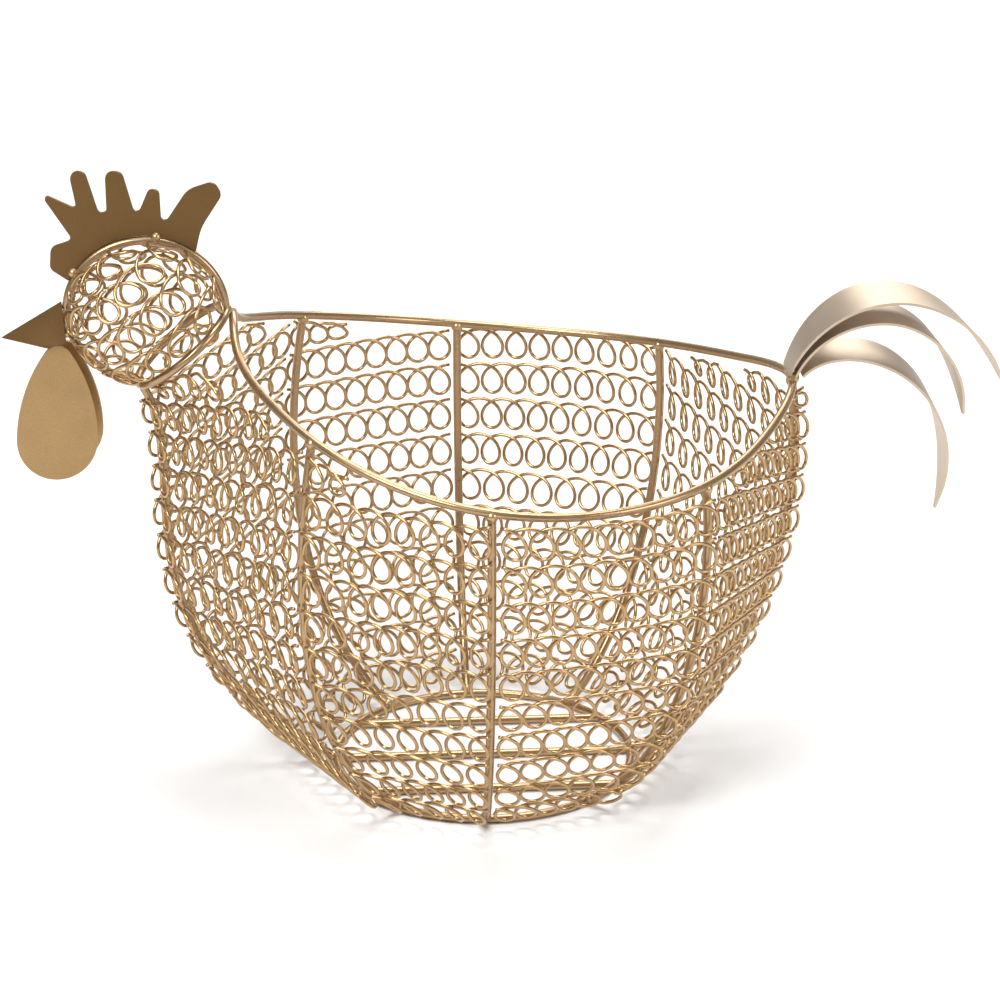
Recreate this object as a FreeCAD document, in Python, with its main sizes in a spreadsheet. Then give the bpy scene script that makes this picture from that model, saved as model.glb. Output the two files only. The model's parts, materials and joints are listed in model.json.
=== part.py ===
import FreeCAD, Part
import math
import os

# Hen-shaped wire produce basket.
#
# Frame: +Z up, head towards -X, tail towards +X, the hen's left side towards -Y. The origin lies on the
# surface that the basket stands on, at the middle of the base ring. Sizes are in millimetres.
#
# Heavy round rods make the frame: the rim, eight ribs, the base ring with its floor bars, the neck ring
# and the hoop over the head. Thin wire, curled into rows of hanging loops, covers the outside of the
# ribs and the head. The comb, beak, wattles and tail feathers are cut from sheet. Weld beads join them.

V = FreeCAD.Vector
UP = V(0, 0, 1)
ACROSS = V(0, 1, 0)

doc = FreeCAD.newDocument("wire_produce_basket")
sheet = doc.addObject("Spreadsheet::Sheet", "Dimensions")
pieces = []

# ---------------------------------------------------------------- driving dimensions

DIMENSIONS = (
    ("rod_diameter", 3.3),
    ("wire_diameter", 1.4),
    ("sheet_thickness", 1.5),
    ("feather_thickness", 1.0),
    # base ring and floor bars
    ("base_radius", 58.0),
    ("floor_bar_spacing", 31.0),
    # looped wire
    ("loop_pitch", 9.9),
    ("loop_swing", 6.5),
    ("loop_depth", 1.3),
    ("row_count", 10.0),
    ("first_row_height", 3.3),
    ("row_gap", 1.3),
    ("wall_offset", 3.95),
    # neck ring and head
    ("head_x", -128.0),
    ("head_z", 187.5),
    ("neck_x", -113.5),
    ("neck_z", 175.0),
    ("neck_radius", 21.6),
    ("neck_tilt", 38.7),
    ("head_row_count", 4.0),
    ("head_row_gap", 0.9),
    ("head_row_angle", 28.5),
    # wattles, comb and beak
    ("wattle_spread", 3.5),
    ("wattle_toe", 7.0),
    ("wattle_splay", 6.0),
    ("comb_lift", 0.3),
    ("beak_thickness", 1.0),
    # tail
    ("tail_x", 118.1),
    ("tail_z", 156.2),
    ("feather_width", 30.0),
    ("weld_size", 2.4),
)


def fill_sheet():
    """Write each driving dimension into the sheet as a plain number with an alias."""
    for row, (alias, value) in enumerate(DIMENSIONS, start=1):
        sheet.set(f"A{row}", alias)
        sheet.set(f"B{row}", str(value))
        sheet.setAlias(f"B{row}", alias)
    doc.recompute()


def size(alias):
    return float(getattr(sheet, alias))


fill_sheet()
ROD = size("rod_diameter") / 2
WIRE = size("wire_diameter") / 2
BASE = V(0, 0, ROD)
HEAD = V(size("head_x"), 0, size("head_z"))
NECK_CENTRE = V(size("neck_x"), 0, size("neck_z"))
NECK_AXIS = V(-math.sin(math.radians(size("neck_tilt"))), 0, math.cos(math.radians(size("neck_tilt"))))
FORWARD = V(-NECK_AXIS.z, 0, NECK_AXIS.x)
NECK_RADIUS = size("neck_radius")
NECK_DEPTH = (HEAD - NECK_CENTRE).dot(NECK_AXIS)
HEAD_RADIUS = math.sqrt(NECK_RADIUS ** 2 + NECK_DEPTH ** 2)
HEAD_OPENING = math.pi - math.acos(NECK_DEPTH / HEAD_RADIUS)


# ---------------------------------------------------------------- making and keeping objects

def keep(item, label):
    """Name an object as one of the basket's pieces."""
    item.Label = label
    pieces.append(item)
    return item


def feature(shape, name):
    """A document object that holds a shape made from the sheet's sizes."""
    item = doc.addObject("Part::Feature", name)
    item.Shape = shape
    item.Placement = FreeCAD.Placement()
    return item


def cut(base, tool, name):
    """The base with the tool taken away, as a document object."""
    item = doc.addObject("Part::Cut", name)
    item.Base = base
    item.Tool = tool
    return item


def fuse(items, name):
    item = doc.addObject("Part::MultiFuse", name)
    item.Shapes = items
    return item


def unit(vector):
    result = V(vector)
    result.normalize()
    return result


def mirrored(point):
    return V(point.x, -point.y, point.z)


# ---------------------------------------------------------------- round wire along tangent arcs

def tangent_arc(start, corner, end):
    """The arc that leaves start towards the corner and reaches end coming from it."""
    middle = (start + end) * 0.5
    half_chord = (end - start).Length / 2
    half_turn = math.acos(min(1.0, half_chord / (corner - start).Length))
    if half_turn < 1e-4:
        return Part.LineSegment(start, end).toShape()
    rise = half_chord * math.tan(half_turn / 2)
    return Part.Arc(start, middle + unit(corner - middle) * rise, end).toShape()


def arc_path(nodes):
    """Two tangent arcs between each pair of (point, direction) nodes, joined smoothly into a path."""
    edges = []
    for (start, leaving), (end, arriving) in zip(nodes, nodes[1:]):
        chord = end - start
        both = leaving + arriving
        spread = 2 * (1 - leaving.dot(arriving))
        along = 2 * chord.dot(both)
        span = chord.dot(chord)
        if spread < 1e-9:
            reach = span / along
        else:
            reach = (math.sqrt(along * along + 4 * spread * span) - along) / (2 * spread)
        first_corner = start + leaving * reach
        last_corner = end - arriving * reach
        joint = (first_corner + last_corner) * 0.5
        edges.append(tangent_arc(start, first_corner, joint))
        edges.append(tangent_arc(joint, last_corner, end))
    return Part.Wire(edges)


def round_bar(nodes, radius):
    """A solid bar of round section that follows the nodes."""
    start, direction = nodes[0]
    disc = Part.Face(Part.Wire([Part.Circle(start, direction, radius).toShape()]))
    return arc_path(nodes).makePipe(disc)


def closed_bar(nodes, radius):
    """A solid ring of round section that follows nodes which end where they start."""
    start, direction = nodes[0]
    tube = arc_path(nodes).makePipe(Part.Wire([Part.Circle(start, direction, radius).toShape()]))
    shell = Part.Shell(tube.Faces)
    shell.sewShape()
    return Part.Solid(shell)


def curve_nodes(curve, count, start_cut=0.0, end_cut=0.0):
    """Evenly spaced (point, direction) nodes along a curve, less a length cut from either end."""
    nodes = []
    span = curve.length() - start_cut - end_cut
    for index in range(count + 1):
        parameter = curve.parameterAtDistance(start_cut + span * index / count, curve.FirstParameter)
        nodes.append((curve.value(parameter), unit(curve.tangent(parameter)[0])))
    return nodes


# ---------------------------------------------------------------- rim

# points of the rim's centre line from the nape round to the tail, the same on both sides
RIM_NAPE = V(-94.0, 0, 186.3)
RIM_NECK = V(-93.0, 19.0, 179.7)
RIM_SHOULDER = V(-80.2, 51.1, 168.4)
RIM_FRONT = V(-66.5, 70.6, 161.8)
RIM_MIDDLE = V(-3.7, 104.6, 145.2)
RIM_REAR = V(76.0, 79.5, 143.9)
RIM_RUMP = V(105.2, 39.4, 150.7)
RIM_STERN = V(114.0, 20.0, 154.4)
RIM_TAIL = V(size("tail_x"), 0, size("tail_z"))
RIM_PIECES = 14


def rim_half():
    """Half of the rim's centre line: it rises to the nape and to the tail, and crosses there squarely."""
    curve = Part.BSplineCurve()
    curve.interpolate(
        Points=[RIM_NAPE, RIM_NECK, RIM_SHOULDER, RIM_FRONT, RIM_MIDDLE, RIM_REAR, RIM_RUMP, RIM_STERN, RIM_TAIL],
        InitialTangent=ACROSS,
        FinalTangent=ACROSS * -1,
        Scale=False,
    )
    return curve


RIM = rim_half()


def rim_height(point):
    """Height of the rim's centre line at a point's own bearing from the middle of the base."""
    bearing = math.atan2(abs(point.y), point.x)
    low, high = 0.0, RIM.LastParameter
    for _ in range(30):
        middle = (low + high) / 2
        here = RIM.value(middle)
        if math.atan2(abs(here.y), here.x) > bearing:
            low = middle
        else:
            high = middle
    return RIM.value(low).z


def make_rim():
    near = curve_nodes(RIM, RIM_PIECES)
    far = [(mirrored(point), V(-along.x, along.y, -along.z)) for point, along in reversed(near[1:-1])]
    keep(feature(closed_bar(near + far + near[:1], ROD), "rim_wire"), "rim_wire")


# ---------------------------------------------------------------- base

FLOOR_BARS = ["floor_bar_left", "floor_bar_centre", "floor_bar_right"]


def make_base():
    """The ring that the basket stands on, and three straight bars across it that make its floor."""
    ring = doc.addObject("Part::Torus", "base_ring")
    ring.setExpression("Radius1", "Dimensions.base_radius")
    ring.setExpression("Radius2", "Dimensions.rod_diameter / 2")
    ring.Placement = FreeCAD.Placement(BASE, FreeCAD.Rotation())
    keep(ring, "base_ring")
    for name, side in (("left", -1), ("centre", 0), ("right", 1)):
        offset = side * size("floor_bar_spacing")
        reach = math.sqrt(size("base_radius") ** 2 - offset ** 2)
        bar = doc.addObject("Part::Cylinder", f"floor_bar_{name}_blank")
        bar.setExpression("Radius", "Dimensions.rod_diameter / 2")
        bar.Height = 2 * reach
        bar.Placement = FreeCAD.Placement(
            V(-reach, offset, ROD), FreeCAD.Rotation(ACROSS, 90)
        )
        keep(cut(bar, ring, f"floor_bar_{name}"), f"floor_bar_{name}")


# ---------------------------------------------------------------- ribs

FOOT_RISE = 0.7


class Rib:
    """One rib: a curve from the base ring, out round the belly and up to the rim or the neck."""

    def __init__(self, name, side, bearing, top, low, high, row_top):
        foot = BASE + V(math.cos(bearing), side * math.sin(bearing), 0) * size("base_radius") + UP * FOOT_RISE
        head = V(top.x, side * top.y, top.z)
        outward = V(head.x - foot.x, head.y - foot.y, 0)
        self.name = name
        self.side = side
        self.curve = Part.BezierCurve()
        self.curve.setPoles(
            [foot, foot + outward * low[0] + UP * low[1], foot + outward * high[0] + UP * high[1], head]
        )
        self.radial = unit(outward)
        self.lowest = self.distance_at_height(size("first_row_height"))
        self.row_top = self.distance_at_height(row_top)

    def distance_at_height(self, height):
        """How far up the rib its looped wall reaches a height."""
        low, high = 0.0, self.curve.length()
        for _ in range(30):
            middle = (low + high) / 2
            if self.skin(middle).z < height:
                low = middle
            else:
                high = middle
        return low

    def skin(self, distance):
        """The point of the looped wall outside the rib, this far up along it. Past the top it runs straight on."""
        length = self.curve.length()
        parameter = self.curve.parameterAtDistance(min(max(distance, 0.01), length), 0)
        along = unit(self.curve.tangent(parameter)[0])
        normal = unit(self.radial - along * self.radial.dot(along))
        extra = max(distance - length, 0)
        return self.curve.value(parameter) + along * extra + normal * size("wall_offset")

    def row_edges(self, row):
        """Bottom and top corner of a row of loops at this rib. Row 1 is the highest full row."""
        pitch = (self.row_top - self.lowest) / size("row_count")
        top = self.lowest + (size("row_count") + 1 - row) * pitch
        return self.skin(top - pitch + size("row_gap")), self.skin(top)


NAPE = NECK_CENTRE - FORWARD * NECK_RADIUS
THROAT = NECK_CENTRE + FORWARD * NECK_RADIUS
RIB_PIECES = 6
FOOT_CUT = 1.9
TOP_CUT = 2.6

# name, bearing of the foot in degrees from the tail, top, low handle, high handle, top of row 1.
# A handle is (share of the rib's outward reach, height): the belly bulges where the high one is over 1.
RIB_SHAPES = (
    ("rear", 0, RIM_TAIL, (0.58, 11.5), (1.19, 86), 117),
    ("rear_side", 50, RIM_REAR, (0.62, 16), (1.14, 76), 140.2),
    ("middle", 93, RIM_MIDDLE, (0.62, 17), (1.08, 76), 141.8),
    ("front_side", 127, RIM_FRONT, (0.77, 18.7), (1.47, 69.8), 144.3),
    ("front", 180, THROAT, (1.30, 56.7), (0.67, 125.3), 127),
)


def rib_ring():
    """The eight ribs in order round the basket, from the tail along the hen's left side."""
    left = [Rib(name, -1, math.radians(b), top, low, high, row)
            for name, b, top, low, high, row in RIB_SHAPES]
    right = [Rib(name, 1, math.radians(b), top, low, high, row)
             for name, b, top, low, high, row in RIB_SHAPES[-2:0:-1]]
    return left + right


def rib_label(rib):
    if rib.name in ("front", "rear"):
        return f"{rib.name}_keel_rib"
    side = "left" if rib.side < 0 else "right"
    return f"{side}_{rib.name.replace('_side', '')}_rib"


def make_ribs(ribs):
    """Each rib is cut square and stops just short of the rods that its ends are welded to."""
    for rib in ribs:
        label = rib_label(rib)
        nodes = curve_nodes(rib.curve, RIB_PIECES, FOOT_CUT, TOP_CUT)
        keep(feature(round_bar(nodes, ROD), label), label)


# ---------------------------------------------------------------- looped wire

LOOP_NODES = 4
END_PHASE = 0.03
SHORTEST_LOOP = 0.55


def looped_wire(surface, count, kept):
    """A wire curled into loops that hang from its top line, for the loops in kept out of count.

    surface(share) gives the (bottom, top, outward direction) of the row at a share of its length.
    """
    swing = size("loop_swing") / size("loop_pitch")

    def place(phase):
        share = (phase / (2 * math.pi) + swing * math.sin(phase)) / count
        bottom, top, outward = surface(share)
        half = (top - bottom) * (0.5 * (1 - 2 * WIRE / (top - bottom).Length))
        depth = outward * (-size("loop_depth") * math.sin(phase))
        return (bottom + top) * 0.5 + half * math.cos(phase) + depth

    def node(phase):
        step = 1e-3
        return place(phase), unit(place(phase + step) - place(phase - step))

    first = 2 * math.pi * kept[0] + END_PHASE
    last = 2 * math.pi * (kept[-1] + 1) - END_PHASE
    steps = LOOP_NODES * len(kept)
    nodes = [node(first + (last - first) * index / steps) for index in range(steps + 1)]
    return round_bar(nodes, WIRE)


BOW_ROWS = 6.0
# how far the top rows bow outward between two ribs, where they follow the rim
BOWS = {"rear_side middle": 10.0, "middle front_side": 4.0}


# how far short of the second rib a row stops, so that its last loop clears that rib
END_ROOM = 2.7


def bay_surface(rib, following, row):
    """A strip of wall between two ribs, flat low down and bowed like the rim near the top."""
    bottom_a, top_a = rib.row_edges(row)
    bottom_b, top_b = following.row_edges(row)
    run = (bottom_b + top_b - bottom_a - top_a) * 0.5
    names = (rib.name, following.name) if rib.side < 0 else (following.name, rib.name)
    bow = unit(UP.cross(run)) * (4 * BOWS.get(" ".join(names), 0.0))

    def surface(part):
        share = part * (1 - END_ROOM / run.Length)
        arch = share * (1 - share)
        low = max(0.0, 1 - row / BOW_ROWS)
        high = max(0.0, 1 - (row - 1) / BOW_ROWS)
        bottom = bottom_a + (bottom_b - bottom_a) * share + bow * (arch * low)
        top = top_a + (top_b - top_a) * share + bow * (arch * high)
        along = run + bow * ((1 - 2 * share) * (low + high) / 2)
        return bottom, top, unit((top - bottom).cross(along))

    return surface, run.Length


# how far below the middle of the rim and of the neck ring a trimmed row stops, in rod radii
RIM_ROOM = 2.0
RING_ROOM = 1.6


def trimmed(surface):
    """The strip of wall with its top line lowered wherever it would pass the rim or the neck ring."""
    def below(share):
        bottom, top, outward = surface(share)
        rise = top - bottom
        room = rim_height(top) - RIM_ROOM * ROD - bottom.z
        kept = min(1.0, room / rise.z)
        climb = rise.dot(NECK_AXIS)
        clear = -RING_ROOM * ROD - (bottom - NECK_CENTRE).dot(NECK_AXIS)
        kept = min(kept, clear / climb) if climb > 0 else kept
        return bottom, bottom + rise * max(kept, SHORTEST_LOOP / 2), outward

    return below


def loop_height_share(surface, below, share):
    return (below(share)[1] - below(share)[0]).Length / (surface(share)[1] - surface(share)[0]).Length


def row_solids(ribs, row):
    """The lengths of looped wire that make one row, one for each bay between ribs."""
    solids = []
    for index, rib in enumerate(ribs):
        following = ribs[(index + 1) % len(ribs)]
        surface, length = bay_surface(rib, following, row)
        count = round(length / size("loop_pitch"))
        kept = list(range(count))
        if row < 1:
            below = trimmed(surface)
            kept = [loop for loop in kept
                    if loop_height_share(surface, below, (loop + 0.5) / count) > SHORTEST_LOOP]
            surface = below
        if kept:
            solids.append(looped_wire(surface, count, kept))
    return solids


FILL_ROWS = (0, -1, -2)


def make_body_rows(ribs):
    for row in range(1, int(size("row_count")) + 1):
        label = f"body_loop_row_{row:02d}"
        keep(feature(Part.makeCompound(row_solids(ribs, row)), label), label)
    breast = []
    rump = []
    for row in FILL_ROWS:
        for solid in row_solids(ribs, row):
            (breast if solid.BoundBox.Center.x < 0 else rump).append((row, solid))
    for name, found in (("breast", breast), ("rump", rump)):
        for row in FILL_ROWS:
            solids = [solid for own, solid in found if own == row]
            if solids:
                label = f"{name}_loop_row_{1 - row}"
                keep(feature(Part.makeCompound(solids), label), label)


# ---------------------------------------------------------------- neck and head

def make_neck_ring():
    ring = doc.addObject("Part::Torus", "neck_ring")
    ring.setExpression("Radius1", "Dimensions.neck_radius")
    ring.setExpression("Radius2", "Dimensions.rod_diameter / 2")
    ring.Placement = FreeCAD.Placement(NECK_CENTRE, FreeCAD.Rotation(UP, NECK_AXIS))
    keep(ring, "neck_ring")


HEAD_LEAN = NECK_CENTRE + NECK_AXIS * NECK_DEPTH - HEAD


def head_place(polar, turn, radius=HEAD_RADIUS):
    """A point of the head. polar is its angle from the crown, turn its angle round from the front.

    The head is a ball that leans back towards its neck, so that its lowest circle is the neck ring.
    """
    level = FORWARD * math.cos(turn) + ACROSS * math.sin(turn)
    lean = HEAD_LEAN * ((1 - math.cos(polar)) / (1 - math.cos(HEAD_OPENING)))
    return HEAD + lean + (level * math.sin(polar) + NECK_AXIS * math.cos(polar)) * radius


HOOP_PIECES = 8
HOOP_CUT = 2.0


def make_head_hoop():
    """The rod that runs over the head from the throat to the nape, and stops at the neck ring."""
    reach = HEAD_OPENING - HOOP_CUT / HEAD_RADIUS
    nodes = []
    for index in range(HOOP_PIECES + 1):
        polar = reach * (1 - 2 * index / HOOP_PIECES)
        step = head_place(polar - 1e-4, 0) - head_place(polar + 1e-4, 0)
        nodes.append((head_place(polar, 0), unit(step)))
    return keep(feature(round_bar(nodes, ROD), "head_hoop"), "head_hoop")


HEAD_LOOPS = (15, 17, 15, 9)
HEAD_GAP = 1.8
HEAD_ROW_ROOM = 0.2


def head_surface(row, side, front):
    """A quarter turn of a row round the head, parallel to the neck ring."""
    step = math.radians(size("head_row_angle"))
    margin = (ROD + WIRE + HEAD_ROW_ROOM) / HEAD_RADIUS
    bottom_angle = HEAD_OPENING - margin - (row - 1) * step
    top_angle = bottom_angle - step + size("head_row_gap") / HEAD_RADIUS
    gap = HEAD_GAP / (HEAD_RADIUS * min(math.sin(bottom_angle), math.sin(top_angle)))
    start, end = (gap, math.pi / 2) if front else (math.pi / 2, math.pi - gap)

    def surface(share):
        turn = side * (start + (end - start) * share)
        bottom, top = head_place(bottom_angle, turn), head_place(top_angle, turn)
        return bottom, top, unit((bottom + top) * 0.5 - HEAD)

    return surface


def make_head_rows():
    for row in range(1, int(size("head_row_count")) + 1):
        quarter = HEAD_LOOPS[row - 1] / 4
        solids = []
        for side in (-1, 1):
            for front in (True, False):
                count = math.floor(quarter + (0.5 if front else 0))
                surface = head_surface(row, side, front)
                solids.append(looped_wire(surface, count, list(range(count))))
        label = f"head_loop_row_{row}"
        keep(feature(Part.makeCompound(solids), label), label)


# ---------------------------------------------------------------- flat sheet pieces

def sheet_body(name, edges, thickness):
    """A body padded from an outline in its own XZ plane, half its thickness to each side."""
    body = doc.addObject("PartDesign::Body", name)
    sketch = body.newObject("Sketcher::SketchObject", f"{name}_outline")
    plane = [item for item in body.Origin.OriginFeatures if item.Role == "XZ_Plane"][0]
    sketch.AttachmentSupport = [(plane, "")]
    sketch.MapMode = "FlatFace"
    doc.recompute()
    into_sketch = sketch.Placement.inverse()
    for edge in edges:
        edge.transform(into_sketch.toMatrix())
        sketch.addGeometry(edge, False)
    pad = body.newObject("PartDesign::Pad", f"{name}_pad")
    pad.Profile = sketch
    pad.setExpression("Length", f"Dimensions.{thickness}")
    pad.Midplane = True
    return body


def rounded(corners):
    """Lines and arcs round a closed outline of (x, z, radius) corners, in the XZ plane."""
    count = len(corners)
    points = [V(x, 0, z) for x, z, _ in corners]
    cuts = []
    for index, point in enumerate(points):
        back = unit(points[index - 1] - point)
        ahead = unit(points[(index + 1) % count] - point)
        half = math.acos(max(-1.0, min(1.0, back.dot(ahead)))) / 2
        radius = corners[index][2]
        reach = radius / math.tan(half)
        bisector = unit(back + ahead)
        touch = point + bisector * (radius / math.sin(half) - radius)
        cuts.append((point + back * reach, touch, point + ahead * reach))
    edges = []
    for index, (arrive, touch, leave) in enumerate(cuts):
        following = cuts[(index + 1) % count][0]
        edges.append(Part.Arc(arrive, touch, leave))
        if (following - leave).Length > 1e-3:
            edges.append(Part.LineSegment(leave, following))
    return edges


# (x, z, corner radius) about the head's centre, from the front of the comb back over its five fingers
COMB_OUTLINE = (
    (-33.6, 18.8, 3.2),
    (-33.0, 27.2, 3.4),
    (-24.6, 29.8, 1.8),
    (-36.4, 48.7, 1.2),
    (-22.8, 41.9, 0.9),
    (-25.3, 56.6, 3.0),
    (-19.2, 56.1, 3.0),
    (-14.7, 40.2, 1.6),
    (-11.8, 40.3, 1.2),
    (-11.9, 55.9, 3.0),
    (-5.6, 56.0, 3.2),
    (-0.9, 37.6, 1.4),
    (4.1, 49.0, 2.4),
    (8.0, 48.4, 2.2),
    (8.4, 33.6, 1.5),
    (18.3, 48.3, 9.0),
    (28.2, 51.4, 3.0),
    (31.2, 46.2, 3.2),
    (23.0, 33.6, 20.0),
)
COMB_FRONT_POLAR = 0.42
COMB_REAR_POLAR = -1.37


def make_comb():
    """A flat plate on the hoop: its lower edge follows the hoop and its upper edge has five fingers."""
    radius = HEAD_RADIUS + ROD + size("comb_lift")
    middle_polar = (COMB_FRONT_POLAR + COMB_REAR_POLAR) / 2
    front, middle, rear = [head_place(polar, 0, radius) - HEAD
                           for polar in (COMB_FRONT_POLAR, middle_polar, COMB_REAR_POLAR)]
    corners = [(front.x, front.z, 0.6)] + list(COMB_OUTLINE) + [(rear.x, rear.z, 0.6)]
    edges = rounded(corners)[:-1]
    edges.append(Part.Arc(edges[-1].EndPoint, middle, edges[0].StartPoint))
    comb = sheet_body("comb", edges, "sheet_thickness")
    comb.Placement = FreeCAD.Placement(HEAD, FreeCAD.Rotation())
    keep(comb, "comb")


WATTLE_TOP = V(-159.8, 0, 177.0)
WATTLE_DROP = 31.0
WATTLE_BOWL = 15.2
WATTLE_SHOULDER = 60.0
WATTLE_CROWN = 5.5
WATTLE_LEAN = 2.3
# name, side, and how much further back it hangs
WATTLES = (("left_wattle", -1, 0.0), ("right_wattle", 1, 1.8))


def wattle_outline():
    """Four arcs that touch smoothly: a small crown, a wide bowl below it and a plump shoulder on each side."""
    crown = V(0, 0, -WATTLE_CROWN)
    bowl = V(0, 0, -WATTLE_CROWN - WATTLE_DROP)
    bowl_reach = WATTLE_SHOULDER - WATTLE_BOWL
    crown_reach = WATTLE_SHOULDER - WATTLE_CROWN
    rise = (WATTLE_DROP ** 2 + bowl_reach ** 2 - crown_reach ** 2) / (2 * WATTLE_DROP)
    inset = math.sqrt(bowl_reach ** 2 - rise ** 2)
    edges = []
    touches = []
    for side in (-1, 1):
        centre = bowl + V(-side * inset, 0, rise)
        high = crown + unit(crown - centre) * WATTLE_CROWN
        low = bowl + unit(bowl - centre) * WATTLE_BOWL
        edges.append(Part.Arc(high, centre + unit(high + low - centre * 2) * WATTLE_SHOULDER, low))
        touches.append((high, low))
    edges.append(Part.Arc(touches[0][0], V(), touches[1][0]))
    edges.append(Part.Arc(touches[0][1], bowl - UP * WATTLE_BOWL, touches[1][1]))
    return edges


def make_wattles():
    """Two egg-shaped plates that hang side by side under the beak."""
    for name, side, setback in WATTLES:
        wattle = sheet_body(name, wattle_outline(), "sheet_thickness")
        lean = FreeCAD.Rotation(ACROSS, WATTLE_LEAN)
        toe = FreeCAD.Rotation(UP, -side * size("wattle_toe"))
        splay = FreeCAD.Rotation(V(1, 0, 0), side * size("wattle_splay"))
        place = WATTLE_TOP + V(setback, side * size("wattle_spread"), 0)
        wattle.Placement = FreeCAD.Placement(place, splay.multiply(toe).multiply(lean))
        keep(wattle, name)


BEAK_TIP = V(-180.6, 0, 179.6)
BEAK_CORNER = V(-163.7, 0, 177.4)
BEAK_SPLAY = 6.5
BEAK_LAP = 0.4
BEAK_STAND = 0.5
BEAK_TOP_POLAR = 0.72
BEAK_ROOT_POLAR = 1.2


def make_beak():
    """A sheet folded along the top of the beak: two three-cornered cheeks that part a little below."""
    radius = HEAD_RADIUS + ROD + BEAK_STAND
    top, root = head_place(BEAK_TOP_POLAR, 0, radius), head_place(BEAK_ROOT_POLAR, 0, radius)
    thick = size("beak_thickness")
    cheeks = []
    for side in (-1, 1):
        lap, splay = ACROSS * (-side * BEAK_LAP), ACROSS * (side * BEAK_SPLAY)
        inner = [top + lap, BEAK_TIP + lap, BEAK_CORNER + splay, root + splay]
        faces = []
        outer = [point + ACROSS * (side * thick) for point in inner]
        faces.append(Part.makeRuledSurface(Part.makeLine(inner[0], inner[1]), Part.makeLine(inner[3], inner[2])))
        faces.append(Part.makeRuledSurface(Part.makeLine(outer[0], outer[1]), Part.makeLine(outer[3], outer[2])))
        for index in range(4):
            following = (index + 1) % 4
            faces.append(Part.makeRuledSurface(
                Part.makeLine(inner[index], inner[following]), Part.makeLine(outer[index], outer[following])
            ))
        shell = Part.Shell(faces)
        shell.sewShape()
        cheeks.append(feature(Part.Solid(shell), f"beak_cheek_{'left' if side < 0 else 'right'}"))
    keep(fuse(cheeks, "beak"), "beak")


# ---------------------------------------------------------------- tail feathers

# name, root, two handles and tip of the centre line in the middle plane, and the roll at the tip in degrees
FEATHERS = (
    ("tail_feather_upper", V(116.3, 0, 159.4), V(128.5, 0, 196), V(176.5, 0, 205), V(199.5, 0, 153), 9.0),
    ("tail_feather_middle", V(118.9, 0, 159.2), V(130, 0, 190), V(177.5, 0, 194), V(185, 0, 140), 8.0),
    ("tail_feather_lower", V(121.5, 0, 158.8), V(137.5, 0, 180), V(189.5, 0, 160), V(175.5, 0, 101.5), 0.0),
)
FEATHER_SECTIONS = 11
FEATHER_ROOT = 0.5
FEATHER_TIP = 0.06
FEATHER_WIDENS = 0.42
FEATHER_NARROWS = 0.55
FEATHER_FULLNESS = 0.85


def leaf_width(share):
    """Width of a feather as a share of its greatest, from its root to its tip."""
    grow = FEATHER_ROOT + (1 - FEATHER_ROOT) * math.sin(math.pi / 2 * min(share / FEATHER_WIDENS, 1.0))
    taper = max(0.0, share - FEATHER_NARROWS) / (1 - FEATHER_NARROWS)
    return max(grow * math.cos(math.pi / 2 * taper) ** FEATHER_FULLNESS, FEATHER_TIP)


def make_feathers():
    """Three leaf-shaped strips, curled back from the tail, each a loft through upright sections."""
    for name, root, first, second, tip, roll in FEATHERS:
        curve = Part.BezierCurve()
        curve.setPoles([root, first, second, tip])
        sections = []
        for index in range(FEATHER_SECTIONS):
            share = index / (FEATHER_SECTIONS - 1)
            parameter = curve.parameterAtDistance(curve.length() * share, 0)
            along = unit(curve.tangent(parameter)[0])
            outward = ACROSS.cross(along) * -1
            turn = FreeCAD.Rotation(along, -roll * share ** 2)
            across = turn.multVec(ACROSS) * (size("feather_width") * leaf_width(share) / 2)
            thick = turn.multVec(outward) * (size("feather_thickness") / 2)
            centre = curve.value(parameter)
            corners = [centre - across - thick, centre + across - thick,
                       centre + across + thick, centre - across + thick]
            sections.append(Part.makePolygon(corners + [corners[0]]))
        keep(feature(Part.makeLoft(sections, True, False), name), name)


# ---------------------------------------------------------------- welds

def weld_group(label, points, tools, stretch=1.0):
    """Beads of weld metal over the joints, fitted round the rods that they join."""
    beads = []
    for index, point in enumerate(points):
        bead = doc.addObject("Part::Sphere", f"{label}_bead_{index + 1}")
        bead.setExpression("Radius", f"Dimensions.weld_size * {stretch}")
        bead.Placement = FreeCAD.Placement(point, FreeCAD.Rotation())
        beads.append(bead)
    group = doc.addObject("Part::Compound", f"{label}_beads")
    group.Links = beads
    keep(cut(group, tools, label), label)


def solids_of(labels):
    """A compound of finished pieces, for cutting others to fit round them."""
    doc.recompute()
    tool = doc.addObject("Part::Compound", "tool_" + labels[0])
    tool.Links = [item for item in pieces if item.Label in labels]
    return tool


BASE_BEAD = 0.9
COMB_BEAD = 0.85
BEAK_BEAD = 0.8
WELD_SET = 1.2
COMB_BEADS = (0.30, -0.86)
BEAK_BEADS = (0.86, 1.14)
TAIL_BEADS = (-4.5, 4.5)


def weld_seat(rib, from_top):
    """Where a weld bead sits on the end of a rib, a little way along it."""
    parameter = rib.curve.parameterAtDistance(rib.curve.length() - WELD_SET if from_top else WELD_SET, 0)
    return rib.curve.value(parameter)


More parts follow.
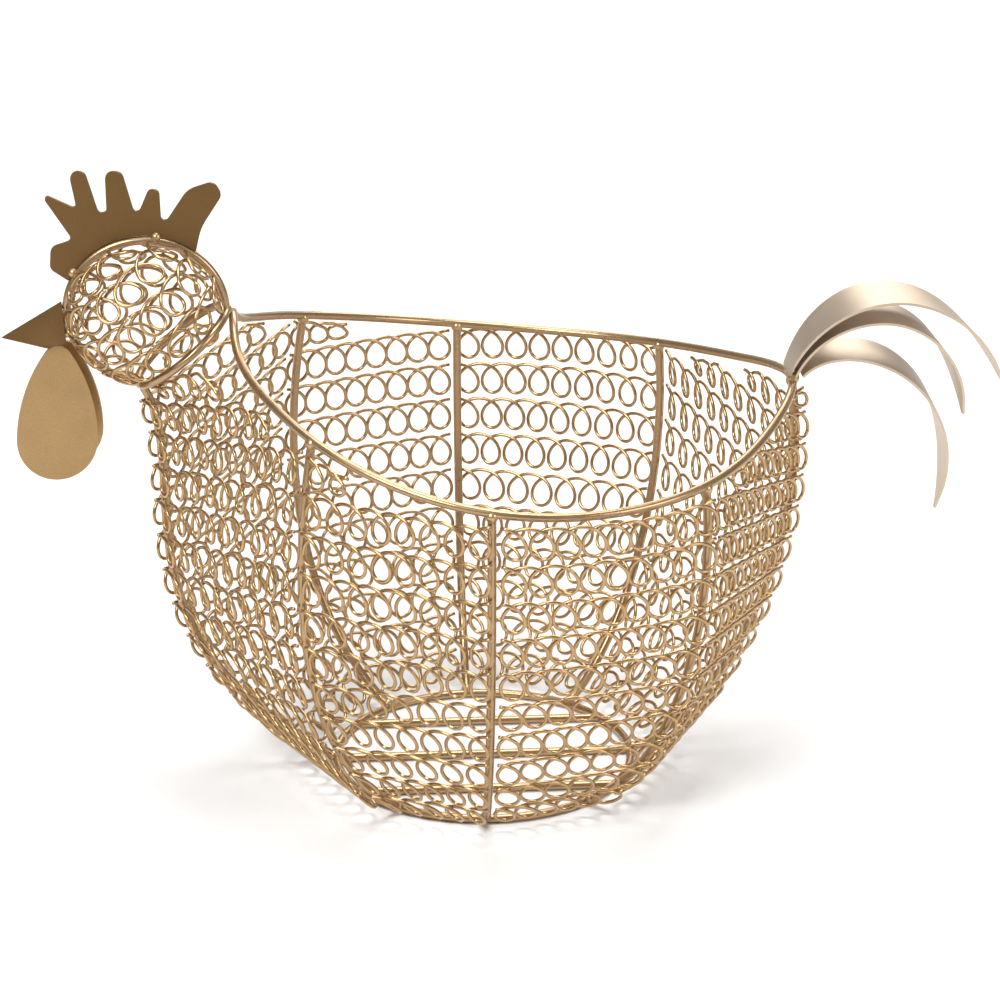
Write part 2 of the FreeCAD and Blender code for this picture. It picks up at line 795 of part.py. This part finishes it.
def make_welds(ribs):
    rods = [rib_label(rib) for rib in ribs]
    rim_joints = [weld_seat(rib, True) for rib in ribs if rib.name != "front"]
    weld_group("rim_weld_beads", rim_joints, solids_of(["rim_wire"] + rods))
    base_joints = [weld_seat(rib, False) for rib in ribs]
    weld_group("base_weld_beads", base_joints, solids_of(["base_ring"] + rods + FLOOR_BARS), BASE_BEAD)
    neck_tools = solids_of(["neck_ring", "head_hoop", "front_keel_rib", "rim_wire"])
    weld_group("neck_weld_beads", [NAPE, THROAT], neck_tools)
    hoop_side = HEAD_RADIUS + ROD
    comb_joints = [head_place(polar, 0, hoop_side) for polar in COMB_BEADS]
    weld_group("comb_weld_beads", comb_joints, solids_of(["comb", "head_hoop"]), COMB_BEAD)
    beak_joints = [head_place(polar, 0, hoop_side) for polar in BEAK_BEADS]
    weld_group("beak_weld_beads", beak_joints, solids_of(["beak", "head_hoop"]), BEAK_BEAD)
    feathers = [name for name, *_ in FEATHERS]
    tail_joints = [RIM_TAIL + V(0, across, ROD) for across in TAIL_BEADS]
    weld_group("tail_weld_beads", tail_joints, solids_of(["rim_wire", "rear_keel_rib"] + feathers))


# ---------------------------------------------------------------- build, check and write

def build():
    make_base()
    make_rim()
    make_neck_ring()
    make_head_hoop()
    ribs = rib_ring()
    make_ribs(ribs)
    make_body_rows(ribs)
    make_head_rows()
    make_comb()
    make_wattles()
    make_beak()
    make_feathers()
    make_welds(ribs)
    doc.recompute()


def check():
    """Stop if any object failed to build, or if a piece is not a sound closed solid."""
    for item in doc.Objects:
        if "Invalid" in item.State or "Error" in item.State:
            raise RuntimeError(f"{item.Label} did not build: {item.State}")
    for item in pieces:
        shape = item.Shape
        if shape.isNull() or not shape.isValid() or not shape.Solids:
            raise RuntimeError(f"{item.Label} is not a valid solid")


def export():
    os.makedirs("parts", exist_ok=True)
    for item in pieces:
        item.Shape.exportStep(f"parts/{item.Label}.step")
    print(f"wrote {len(pieces)} pieces")


build()
check()
export()
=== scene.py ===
"""Looks for the hen-shaped wire basket: looped wire, weld metal, satin gold paint and a pale studio."""
import json
import math
import random

import bpy
import numpy as np
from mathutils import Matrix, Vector


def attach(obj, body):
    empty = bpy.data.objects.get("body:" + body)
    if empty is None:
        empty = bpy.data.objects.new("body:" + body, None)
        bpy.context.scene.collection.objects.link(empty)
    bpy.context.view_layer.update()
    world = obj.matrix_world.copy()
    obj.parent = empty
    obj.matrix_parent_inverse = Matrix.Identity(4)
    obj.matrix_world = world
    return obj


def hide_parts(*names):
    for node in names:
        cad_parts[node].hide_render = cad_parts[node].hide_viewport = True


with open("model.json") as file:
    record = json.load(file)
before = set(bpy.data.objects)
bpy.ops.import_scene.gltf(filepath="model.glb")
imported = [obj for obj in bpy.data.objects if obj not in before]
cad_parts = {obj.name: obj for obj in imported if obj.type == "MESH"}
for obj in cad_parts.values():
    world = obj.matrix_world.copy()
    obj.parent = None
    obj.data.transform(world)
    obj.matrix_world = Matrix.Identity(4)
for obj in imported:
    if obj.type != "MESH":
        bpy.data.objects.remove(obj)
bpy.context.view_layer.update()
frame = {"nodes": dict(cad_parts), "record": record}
NODES = frame["nodes"]

MM = 0.001
UP = np.array([0.0, 0.0, 1.0])
ACROSS = np.array([0.0, 1.0, 0.0])

# ---------------------------------------------------------------- sizes, in millimetres

ROD = 1.65                      # radius of the frame rods
WIRE = 0.7                      # radius of the looped wire
BASE_RADIUS = 58.0
FOOT_RISE = 0.7
WALL_OFFSET = 3.95
LOOP_PITCH = 9.9
LOOP_SWING = 6.5
LOOP_DEPTH = 1.3
ROW_COUNT = 10
FIRST_ROW_HEIGHT = 3.3
ROW_GAP = 1.3
END_ROOM = 2.7
SHORTEST_LOOP = 0.55
FILL_ROWS = (0, -1, -2)

HEAD = np.array([-128.0, 0.0, 187.5])
HEAD_ROW_ANGLE = math.radians(28.5)
HEAD_LOOPS = (15, 17, 15, 9)
HEAD_GAP = 1.8
HEAD_ROW_GAP = 0.9
HEAD_ROW_ROOM = 0.2             # clear space between the neck ring and the lowest head row
NECK_CENTRE = np.array([-113.5, 0.0, 175.0])
NECK_TILT = math.radians(38.7)
NECK_AXIS = np.array([-math.sin(NECK_TILT), 0.0, math.cos(NECK_TILT)])
NECK_RADIUS = 21.6
FORWARD = np.array([-NECK_AXIS[2], 0.0, NECK_AXIS[0]])
NECK_DEPTH = float((HEAD - NECK_CENTRE) @ NECK_AXIS)
HEAD_RADIUS = math.sqrt(NECK_RADIUS ** 2 + NECK_DEPTH ** 2)
HEAD_OPENING = math.pi - math.acos(NECK_DEPTH / HEAD_RADIUS)
HEAD_LEAN = NECK_CENTRE + NECK_AXIS * NECK_DEPTH - HEAD
THROAT = NECK_CENTRE + FORWARD * NECK_RADIUS

RIM_MIDDLE = (-3.7, 104.6, 145.2)
RIM_REAR = (76.0, 79.5, 143.9)
RIM_FRONT = (-66.5, 70.6, 161.8)
RIM_TAIL = (118.1, 0.0, 156.2)

# name, bearing of the foot from the tail, top, low handle, high handle, height of row 1's top
RIB_SHAPES = (
    ("rear", 0, RIM_TAIL, (0.58, 11.5), (1.19, 86), 117),
    ("rear_side", 50, RIM_REAR, (0.62, 16), (1.14, 76), 140.2),
    ("middle", 93, RIM_MIDDLE, (0.62, 17), (1.08, 76), 141.8),
    ("front_side", 127, RIM_FRONT, (0.77, 18.7), (1.47, 69.8), 144.3),
    ("front", 180, tuple(THROAT), (1.30, 56.7), (0.67, 125.3), 127),
)


def unit(vector):
    return vector / np.linalg.norm(vector)


# ---------------------------------------------------------------- tubes of wire

def tube(points, radius, sides=8):
    """Vertices and faces of a round tube with flat ends, turned as little as possible along its path."""
    points = np.asarray(points)
    along = np.gradient(points, axis=0)
    along /= np.linalg.norm(along, axis=1)[:, None]
    side = unit(np.cross(along[0], UP if abs(along[0][2]) < 0.9 else ACROSS))
    angles = np.arange(sides) * (2 * math.pi / sides)
    ring_cos, ring_sin = np.cos(angles)[:, None], np.sin(angles)[:, None]
    vertices = []
    for index in range(len(points)):
        side = unit(side - along[index] * (side @ along[index]))
        other = np.cross(along[index], side)
        vertices.append(points[index] + radius * (ring_cos * side + ring_sin * other))
    vertices = np.concatenate(vertices)
    faces = []
    for index in range(len(points) - 1):
        here, there = index * sides, (index + 1) * sides
        for corner in range(sides):
            after = (corner + 1) % sides
            faces.append((here + corner, here + after, there + after, there + corner))
    last = (len(points) - 1) * sides
    faces.append(tuple(reversed(range(sides))))
    faces.append(tuple(range(last, last + sides)))
    return vertices, faces


def mesh_object(name, lumps):
    """One smooth object, in metres, from several (vertices, faces) lumps in millimetres."""
    vertices, faces, offset = [], [], 0
    for lump_vertices, lump_faces in lumps:
        vertices.append(lump_vertices)
        faces.extend(tuple(corner + offset for corner in face) for face in lump_faces)
        offset += len(lump_vertices)
    mesh = bpy.data.meshes.new(name)
    mesh.from_pydata((np.concatenate(vertices) * MM).tolist(), [], faces)
    mesh.shade_smooth()
    item = bpy.data.objects.new(name, mesh)
    bpy.context.scene.collection.objects.link(item)
    return item


# ---------------------------------------------------------------- the wall that the loops lie on

class Rib:
    """The curve of one rib, by arc length, and the wall of loops outside it."""

    SAMPLES = 400
    NUDGE = 0.5

    def __init__(self, side, name, bearing, top, low, high, row_top):
        self.name, self.side = name, side
        bearing = math.radians(bearing)
        foot = np.array([math.cos(bearing), side * math.sin(bearing), 0.0]) * BASE_RADIUS
        foot = foot + UP * (ROD + FOOT_RISE)
        head = np.array([top[0], side * top[1], top[2]])
        outward = np.array([head[0] - foot[0], head[1] - foot[1], 0.0])
        handle_low = foot + outward * low[0] + UP * low[1]
        handle_high = foot + outward * high[0] + UP * high[1]
        share = np.linspace(0.0, 1.0, self.SAMPLES)[:, None]
        rest = 1 - share
        self.points = (rest ** 3 * foot + 3 * rest ** 2 * share * handle_low
                       + 3 * rest * share ** 2 * handle_high + share ** 3 * head)
        steps = np.linalg.norm(np.diff(self.points, axis=0), axis=1)
        self.distances = np.concatenate([[0.0], np.cumsum(steps)])
        self.radial = unit(outward)
        self.lowest = self.distance_at_height(FIRST_ROW_HEIGHT)
        self.row_top = self.distance_at_height(row_top)

    def point(self, distance):
        return np.array([np.interp(distance, self.distances, self.points[:, axis]) for axis in range(3)])

    def skin(self, distance):
        """The point of the looped wall outside the rib, this far up along it."""
        length = self.distances[-1]
        here = min(max(distance, self.NUDGE), length - self.NUDGE)
        along = unit(self.point(here + self.NUDGE) - self.point(here - self.NUDGE))
        normal = unit(self.radial - along * (self.radial @ along))
        return self.point(here) + along * (distance - here) + normal * WALL_OFFSET

    def distance_at_height(self, height):
        low, high = 0.0, self.distances[-1]
        for _ in range(30):
            middle = (low + high) / 2
            if self.skin(middle)[2] < height:
                low = middle
            else:
                high = middle
        return low

    def row_edges(self, row):
        """Bottom and top corner of a row of loops at this rib. Row 1 is the highest full row."""
        pitch = (self.row_top - self.lowest) / ROW_COUNT
        top = self.lowest + (ROW_COUNT + 1 - row) * pitch
        return self.skin(top - pitch + ROW_GAP), self.skin(top)


LEFT_RIBS = [Rib(-1, *shape) for shape in RIB_SHAPES]
RIBS = LEFT_RIBS + [Rib(1, *shape) for shape in RIB_SHAPES[-2:0:-1]]

# The rows bow outward between two ribs like the rim: in full at the top of row 1, a little more in the
# fill rows above it, and less and less below it, down to nothing this many rows further down.
BOW_ROWS = 6.0
BOWS = {"rear_side middle": 10.0, "middle front_side": 4.0}


def bay_surface(rib, following, row):
    """A strip of wall between two ribs, flat low down and bowed like the rim near the top."""
    bottom_a, top_a = rib.row_edges(row)
    bottom_b, top_b = following.row_edges(row)
    run = (bottom_b + top_b - bottom_a - top_a) * 0.5
    names = (rib.name, following.name) if rib.side < 0 else (following.name, rib.name)
    bow = unit(np.cross(UP, run)) * (4 * BOWS.get(" ".join(names), 0.0))

    def surface(part):
        share = part * (1 - END_ROOM / np.linalg.norm(run))
        arch = share * (1 - share)
        low = max(0.0, 1 - row / BOW_ROWS)
        high = max(0.0, 1 - (row - 1) / BOW_ROWS)
        bottom = bottom_a + (bottom_b - bottom_a) * share + bow * (arch * low)
        top = top_a + (top_b - top_a) * share + bow * (arch * high)
        along = run + bow * ((1 - 2 * share) * (low + high) / 2)
        return bottom, top, unit(np.cross(top - bottom, along))

    return surface, float(np.linalg.norm(run))


# ---------------------------------------------------------------- rows of loops

LOOP_STEPS = 30
END_PHASE = 0.03
WIDTH_SPREAD = 0.018
LIFT_SPREAD = 0.16
STAND_SPREAD = 0.10


def loops(surface, count, kept, chance):
    """The looped wire of a bay. Each loop is a little different in width, reach and stand from the next."""
    swing = LOOP_SWING / LOOP_PITCH
    wobble = [(chance.gauss(0, WIDTH_SPREAD), chance.gauss(0, LIFT_SPREAD), chance.gauss(0, STAND_SPREAD))
              for _ in range(count + 2)]

    def uneven(phase):
        """The three variations at this phase, blended from one loop to the next."""
        where = phase / (2 * math.pi)
        index = int(math.floor(where))
        blend = where - index
        blend = blend * blend * (3 - 2 * blend)
        first = wobble[max(0, min(index, count))]
        second = wobble[max(0, min(index + 1, count + 1))]
        return [a + (b - a) * blend for a, b in zip(first, second)]

    points = []
    first = 2 * math.pi * kept[0] + END_PHASE
    last = 2 * math.pi * (kept[-1] + 1) - END_PHASE
    steps = LOOP_STEPS * len(kept)
    for index in range(steps + 1):
        phase = first + (last - first) * index / steps
        width, lift, stand = uneven(phase)
        ends = min(1.0, (phase - first) / 2, (last - phase) / 2)
        share = (phase / (2 * math.pi) + swing * (1 + width * ends) * math.sin(phase)) / count
        bottom, top, outward = surface(share)
        rise = top - bottom
        half = rise * (0.5 * (1 - 2 * WIRE / np.linalg.norm(rise)))
        place = (bottom + top) * 0.5 + half * math.cos(phase)
        place = place - outward * (LOOP_DEPTH * math.sin(phase))
        points.append(place + (unit(rise) * lift * 0.5 + outward * stand) * ends)
    return tube(points, WIRE)


def rim_polyline():
    """The centre line of the rim as the CAD model has it, by bearing, read from the rim's own mesh."""
    coordinates = np.empty(len(NODES["rim_wire"].data.vertices) * 3)
    NODES["rim_wire"].data.vertices.foreach_get("co", coordinates)
    points = coordinates.reshape(-1, 3) / MM
    bearings = np.arctan2(np.abs(points[:, 1]), points[:, 0])
    order = np.argsort(bearings)
    return bearings[order], points[order, 2]


RIM_BEARINGS, RIM_HEIGHTS = rim_polyline()
RIM_WINDOW = 0.06               # radians either side of a bearing
NECK_ROOM = 1.6 * ROD           # how far below the neck ring's plane the fill rows stop


def rim_height(point):
    """Height of the rim's centre line at the bearing of this point."""
    bearing = math.atan2(abs(point[1]), point[0])
    near = np.abs(RIM_BEARINGS - bearing) < RIM_WINDOW
    return float((RIM_HEIGHTS[near].max() + RIM_HEIGHTS[near].min()) / 2)


def trimmed(surface):
    """The strip of wall with its top line lowered wherever it would pass the rim or the neck ring."""
    def below(share):
        bottom, top, outward = surface(share)
        rise = top - bottom
        kept = min(1.0, (rim_height(top) - 2 * ROD - bottom[2]) / rise[2])
        climb = float(rise @ NECK_AXIS)
        if climb > 0:
            kept = min(kept, (-NECK_ROOM - float((bottom - NECK_CENTRE) @ NECK_AXIS)) / climb)
        return bottom, bottom + rise * max(kept, SHORTEST_LOOP / 2), outward

    return below


def height_share(surface, below, share):
    """How much of a row's full height is left at this place once it is trimmed."""
    low, cut = below(share)[:2]
    bottom, top = surface(share)[:2]
    return np.linalg.norm(cut - low) / np.linalg.norm(top - bottom)


def row_lumps(row, chance):
    """(middle x, lump) of each bay's looped wire in a row."""
    found = []
    for index, rib in enumerate(RIBS):
        following = RIBS[(index + 1) % len(RIBS)]
        surface, length = bay_surface(rib, following, row)
        count = round(length / LOOP_PITCH)
        kept = list(range(count))
        if row < 1:
            below = trimmed(surface)
            kept = [loop for loop in kept
                    if height_share(surface, below, (loop + 0.5) / count) > SHORTEST_LOOP]
            surface = below
        if kept:
            lump = loops(surface, count, kept, chance)
            found.append((float(lump[0][:, 0].mean()), lump))
    return found


def head_place(polar, turn):
    """A point of the head: a ball that leans back to its neck, so that its lowest circle is the neck ring."""
    level = FORWARD * math.cos(turn) + ACROSS * math.sin(turn)
    lean = HEAD_LEAN * ((1 - math.cos(polar)) / (1 - math.cos(HEAD_OPENING)))
    return HEAD + lean + (level * math.sin(polar) + NECK_AXIS * math.cos(polar)) * HEAD_RADIUS


def head_surface(row, side, front):
    """A strip of a quarter of one head row, between the hoop and the side of the head."""
    bottom_angle = HEAD_OPENING - (ROD + WIRE + HEAD_ROW_ROOM) / HEAD_RADIUS - (row - 1) * HEAD_ROW_ANGLE
    top_angle = bottom_angle - HEAD_ROW_ANGLE + HEAD_ROW_GAP / HEAD_RADIUS
    gap = HEAD_GAP / (HEAD_RADIUS * min(math.sin(bottom_angle), math.sin(top_angle)))
    start, end = (gap, math.pi / 2) if front else (math.pi / 2, math.pi - gap)

    def surface(share):
        turn = side * (start + (end - start) * share)
        bottom, top = head_place(bottom_angle, turn), head_place(top_angle, turn)
        return bottom, top, unit((bottom + top) * 0.5 - HEAD)

    return surface


def finish_piece(item, slot, material, *nodes):
    """Ties a new piece to the frame, and lets it stand for the CAD nodes that it shows."""
    item.data.materials.append(material)
    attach(item, "root")
    if nodes:
        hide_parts(*nodes)


LOOP_SEED = 7


def make_loops(material):
    """Every row of looped wire, each standing for the CAD node of the same row."""
    chance = random.Random(LOOP_SEED)
    for row in range(1, ROW_COUNT + 1):
        node = f"body_loop_row_{row:02d}"
        lumps = [lump for _, lump in row_lumps(row, chance)]
        finish_piece(mesh_object(f"loops_{node}", lumps), "gold_wire", material, node)
    for row in FILL_ROWS:
        found = row_lumps(row, chance)
        for part, lumps in (("breast", [lump for x, lump in found if x < 0]),
                            ("rump", [lump for x, lump in found if x > 0])):
            node = f"{part}_loop_row_{1 - row}"
            if lumps:
                finish_piece(mesh_object(f"loops_{node}", lumps), "gold_wire", material, node)
    for row, total in enumerate(HEAD_LOOPS, start=1):
        lumps = []
        for side in (-1, 1):
            for front in (True, False):
                count = math.floor(total / 4 + (0.5 if front else 0))
                lumps.append(loops(head_surface(row, side, front), count, list(range(count)), chance))
        node = f"head_loop_row_{row}"
        finish_piece(mesh_object(f"loops_{node}", lumps), "gold_wire", material, node)


# ---------------------------------------------------------------- satin metal paint

def painted(name, colour, roughness, metallic=0.9, speck=0.05, grain=0.15):
    """Metallic paint: an even colour with faint mottling, tiny flakes and a slightly uneven surface."""
    material = bpy.data.materials.new(name)
    material.use_nodes = True
    nodes, links = material.node_tree.nodes, material.node_tree.links
    shader = nodes["Principled BSDF"]
    shader.inputs["Metallic"].default_value = metallic
    place = nodes.new("ShaderNodeTexCoord")

    mottle = nodes.new("ShaderNodeTexNoise")
    mottle.inputs["Scale"].default_value = 90.0
    mottle.inputs["Detail"].default_value = 3.0
    links.new(place.outputs["Object"], mottle.inputs["Vector"])
    flakes = nodes.new("ShaderNodeTexNoise")
    flakes.inputs["Scale"].default_value = 2600.0
    flakes.inputs["Detail"].default_value = 1.0
    links.new(place.outputs["Object"], flakes.inputs["Vector"])

    shade = nodes.new("ShaderNodeMapRange")
    shade.inputs["From Min"].default_value = 0.3
    shade.inputs["From Max"].default_value = 0.7
    shade.inputs["To Min"].default_value = 1 - speck
    shade.inputs["To Max"].default_value = 1 + speck
    links.new(mottle.outputs["Fac"], shade.inputs["Value"])
    glint = nodes.new("ShaderNodeMapRange")
    glint.inputs["From Min"].default_value = 0.3
    glint.inputs["From Max"].default_value = 0.75
    glint.inputs["To Min"].default_value = 1 - grain / 2
    glint.inputs["To Max"].default_value = 1 + grain
    links.new(flakes.outputs["Fac"], glint.inputs["Value"])
    both = nodes.new("ShaderNodeMath")
    both.operation = "MULTIPLY"
    links.new(shade.outputs["Result"], both.inputs[0])
    links.new(glint.outputs["Result"], both.inputs[1])
    tint = nodes.new("ShaderNodeVectorMath")
    tint.operation = "SCALE"
    tint.inputs[0].default_value = colour
    links.new(both.outputs["Value"], tint.inputs["Scale"])
    links.new(tint.outputs["Vector"], shader.inputs["Base Color"])

    sheen = nodes.new("ShaderNodeMapRange")
    sheen.inputs["To Min"].default_value = roughness - 0.05
    sheen.inputs["To Max"].default_value = roughness + 0.07
    links.new(mottle.outputs["Fac"], sheen.inputs["Value"])
    links.new(sheen.outputs["Result"], shader.inputs["Roughness"])

    bump = nodes.new("ShaderNodeBump")
    bump.inputs["Strength"].default_value = 0.12
    bump.inputs["Distance"].default_value = 0.0001
    links.new(flakes.outputs["Fac"], bump.inputs["Height"])
    links.new(bump.outputs["Normal"], shader.inputs["Normal"])
    return material


GOLD_ROD = painted("gold_rod", (0.41, 0.275, 0.15), 0.27)
GOLD_WIRE = painted("gold_wire", (0.46, 0.30, 0.145), 0.24)
# The slot named bronze_sheet (comb and beak) takes a much darker copy of the gold paint: painted shade, for
# the dark room that the comb's flat face reflects.
GOLD_SHEET_PAINTED_SHADE = painted("bronze_sheet", (0.165, 0.092, 0.034), 0.42)
GOLD_SHEET = painted("gold_sheet", (0.45, 0.29, 0.135), 0.45)
CHAMPAGNE = painted("champagne_sheet", (0.56, 0.45, 0.34), 0.42, speck=0.03, grain=0.05)
# Painted shade: a near-black copy of the gold paint for the beak.
BEAK_PAINTED_SHADE = painted("beak_sheet", (0.075, 0.042, 0.017), 0.5, metallic=1.0)
WELD = painted("weld_metal", (0.50, 0.35, 0.19), 0.30)

SLOT_MATERIALS = {
    "gold_rod": GOLD_ROD,
    "gold_wire": GOLD_WIRE,
    # painted shade: the comb's darker copy of the gold paint
    "bronze_sheet": GOLD_SHEET_PAINTED_SHADE,
    "gold_sheet": GOLD_SHEET,
    "champagne_sheet": CHAMPAGNE,
    "weld_metal": WELD,
}

# The beak takes its own copy of the gold paint, darker than the rest of the bronze_sheet slot: painted shade,
# which keeps its upturned cheeks dark where they catch the top light.
NODE_MATERIALS = {"beak": BEAK_PAINTED_SHADE}


def paint_nodes():
    """Each CAD node that is still shown takes its slot's material."""
    slots = {part["node"]: part["material_slot"] for part in frame["record"]["subparts"]}
    for name, item in NODES.items():
        material = NODE_MATERIALS.get(name) or SLOT_MATERIALS.get(slots[name])
        if material:
            item.data.materials.clear()
            item.data.materials.append(material)


# ---------------------------------------------------------------- studio

def stage_material(name, colour):
    material = bpy.data.materials.new(name)
    material.use_nodes = True
    shader = material.node_tree.nodes["Principled BSDF"]
    shader.inputs["Base Color"].default_value = (*colour, 1)
    shader.inputs["Roughness"].default_value = 0.9
    return material


def soft_light(name, place, target, width, height, power):
    data = bpy.data.lights.new(name, "AREA")
    data.shape = "RECTANGLE"
    data.size, data.size_y = width, height
    data.energy = power
    lamp = bpy.data.objects.new(name, data)
    lamp.location = place
    lamp.rotation_euler = (Vector(target) - Vector(place)).to_track_quat("-Z", "Y").to_euler()
    bpy.context.scene.collection.objects.link(lamp)


def make_studio():
    """A pale floor that curves up into a backdrop, and large soft lights."""
    pale = stage_material("studio_pale", (0.86, 0.86, 0.86))
    radius, reach, wall, width = 1.2, 2.2, 3.0, 6.0
    profile = [(-2.6, 0.0), (reach, 0.0)]
    for step in range(1, 17):
        angle = math.pi / 2 * step / 16
        profile.append((reach + radius * math.sin(angle), radius - radius * math.cos(angle)))
    profile.append((reach + radius, wall))
    vertices = [(x, y, z) for y, z in profile for x in (-width, width)]
    faces = [(2 * k, 2 * k + 1, 2 * k + 3, 2 * k + 2) for k in range(len(profile) - 1)]
    mesh = bpy.data.meshes.new("studio_sweep")
    mesh.from_pydata(vertices, [], faces)
    mesh.shade_smooth()
    mesh.materials.append(pale)
    sweep = bpy.data.objects.new("studio_sweep", mesh)
    bpy.context.scene.collection.objects.link(sweep)

    aim = (0.0, 0.0, 0.12)
    soft_light("key_light", (-0.9, -1.3, 1.5), aim, 0.8, 0.8, 30)
    soft_light("top_light", (0.1, 0.2, 1.7), aim, 1.0, 0.8, 20)
    soft_light("fill_light", (1.4, -1.0, 0.9), aim, 0.8, 0.8, 10)
    soft_light("back_light", (0.5, 1.6, 1.2), aim, 1.2, 0.7, 14)

    world = bpy.data.worlds.new("studio_air")
    bpy.context.scene.world = world
    world.use_nodes = True
    air = world.node_tree.nodes["Background"]
    air.inputs["Color"].default_value = (1.0, 1.0, 1.0, 1.0)
    air.inputs["Strength"].default_value = 0.3


def make_camera():
    """The camera stands a little to the head's side and looks down on the basket."""
    azimuth, elevation, distance = math.radians(-4.0), math.radians(21.5), 1.490
    aim = Vector((0.0065, 0.0, 0.109))
    back = Vector((math.sin(azimuth) * math.cos(elevation), -math.cos(azimuth) * math.cos(elevation),
                   math.sin(elevation)))
    data = bpy.data.cameras.new("photo_camera")
    data.sensor_width = 36.0
    data.lens = 139.5
    data.clip_end = 20.0
    camera = bpy.data.objects.new("photo_camera", data)
    camera.location = aim + back * distance
    camera.rotation_euler = (-back).to_track_quat("-Z", "Y").to_euler()
    bpy.context.scene.collection.objects.link(camera)
    bpy.context.scene.camera = camera


make_loops(GOLD_WIRE)
paint_nodes()
make_studio()
make_camera()
bpy.context.scene.view_settings.view_transform = "Standard"
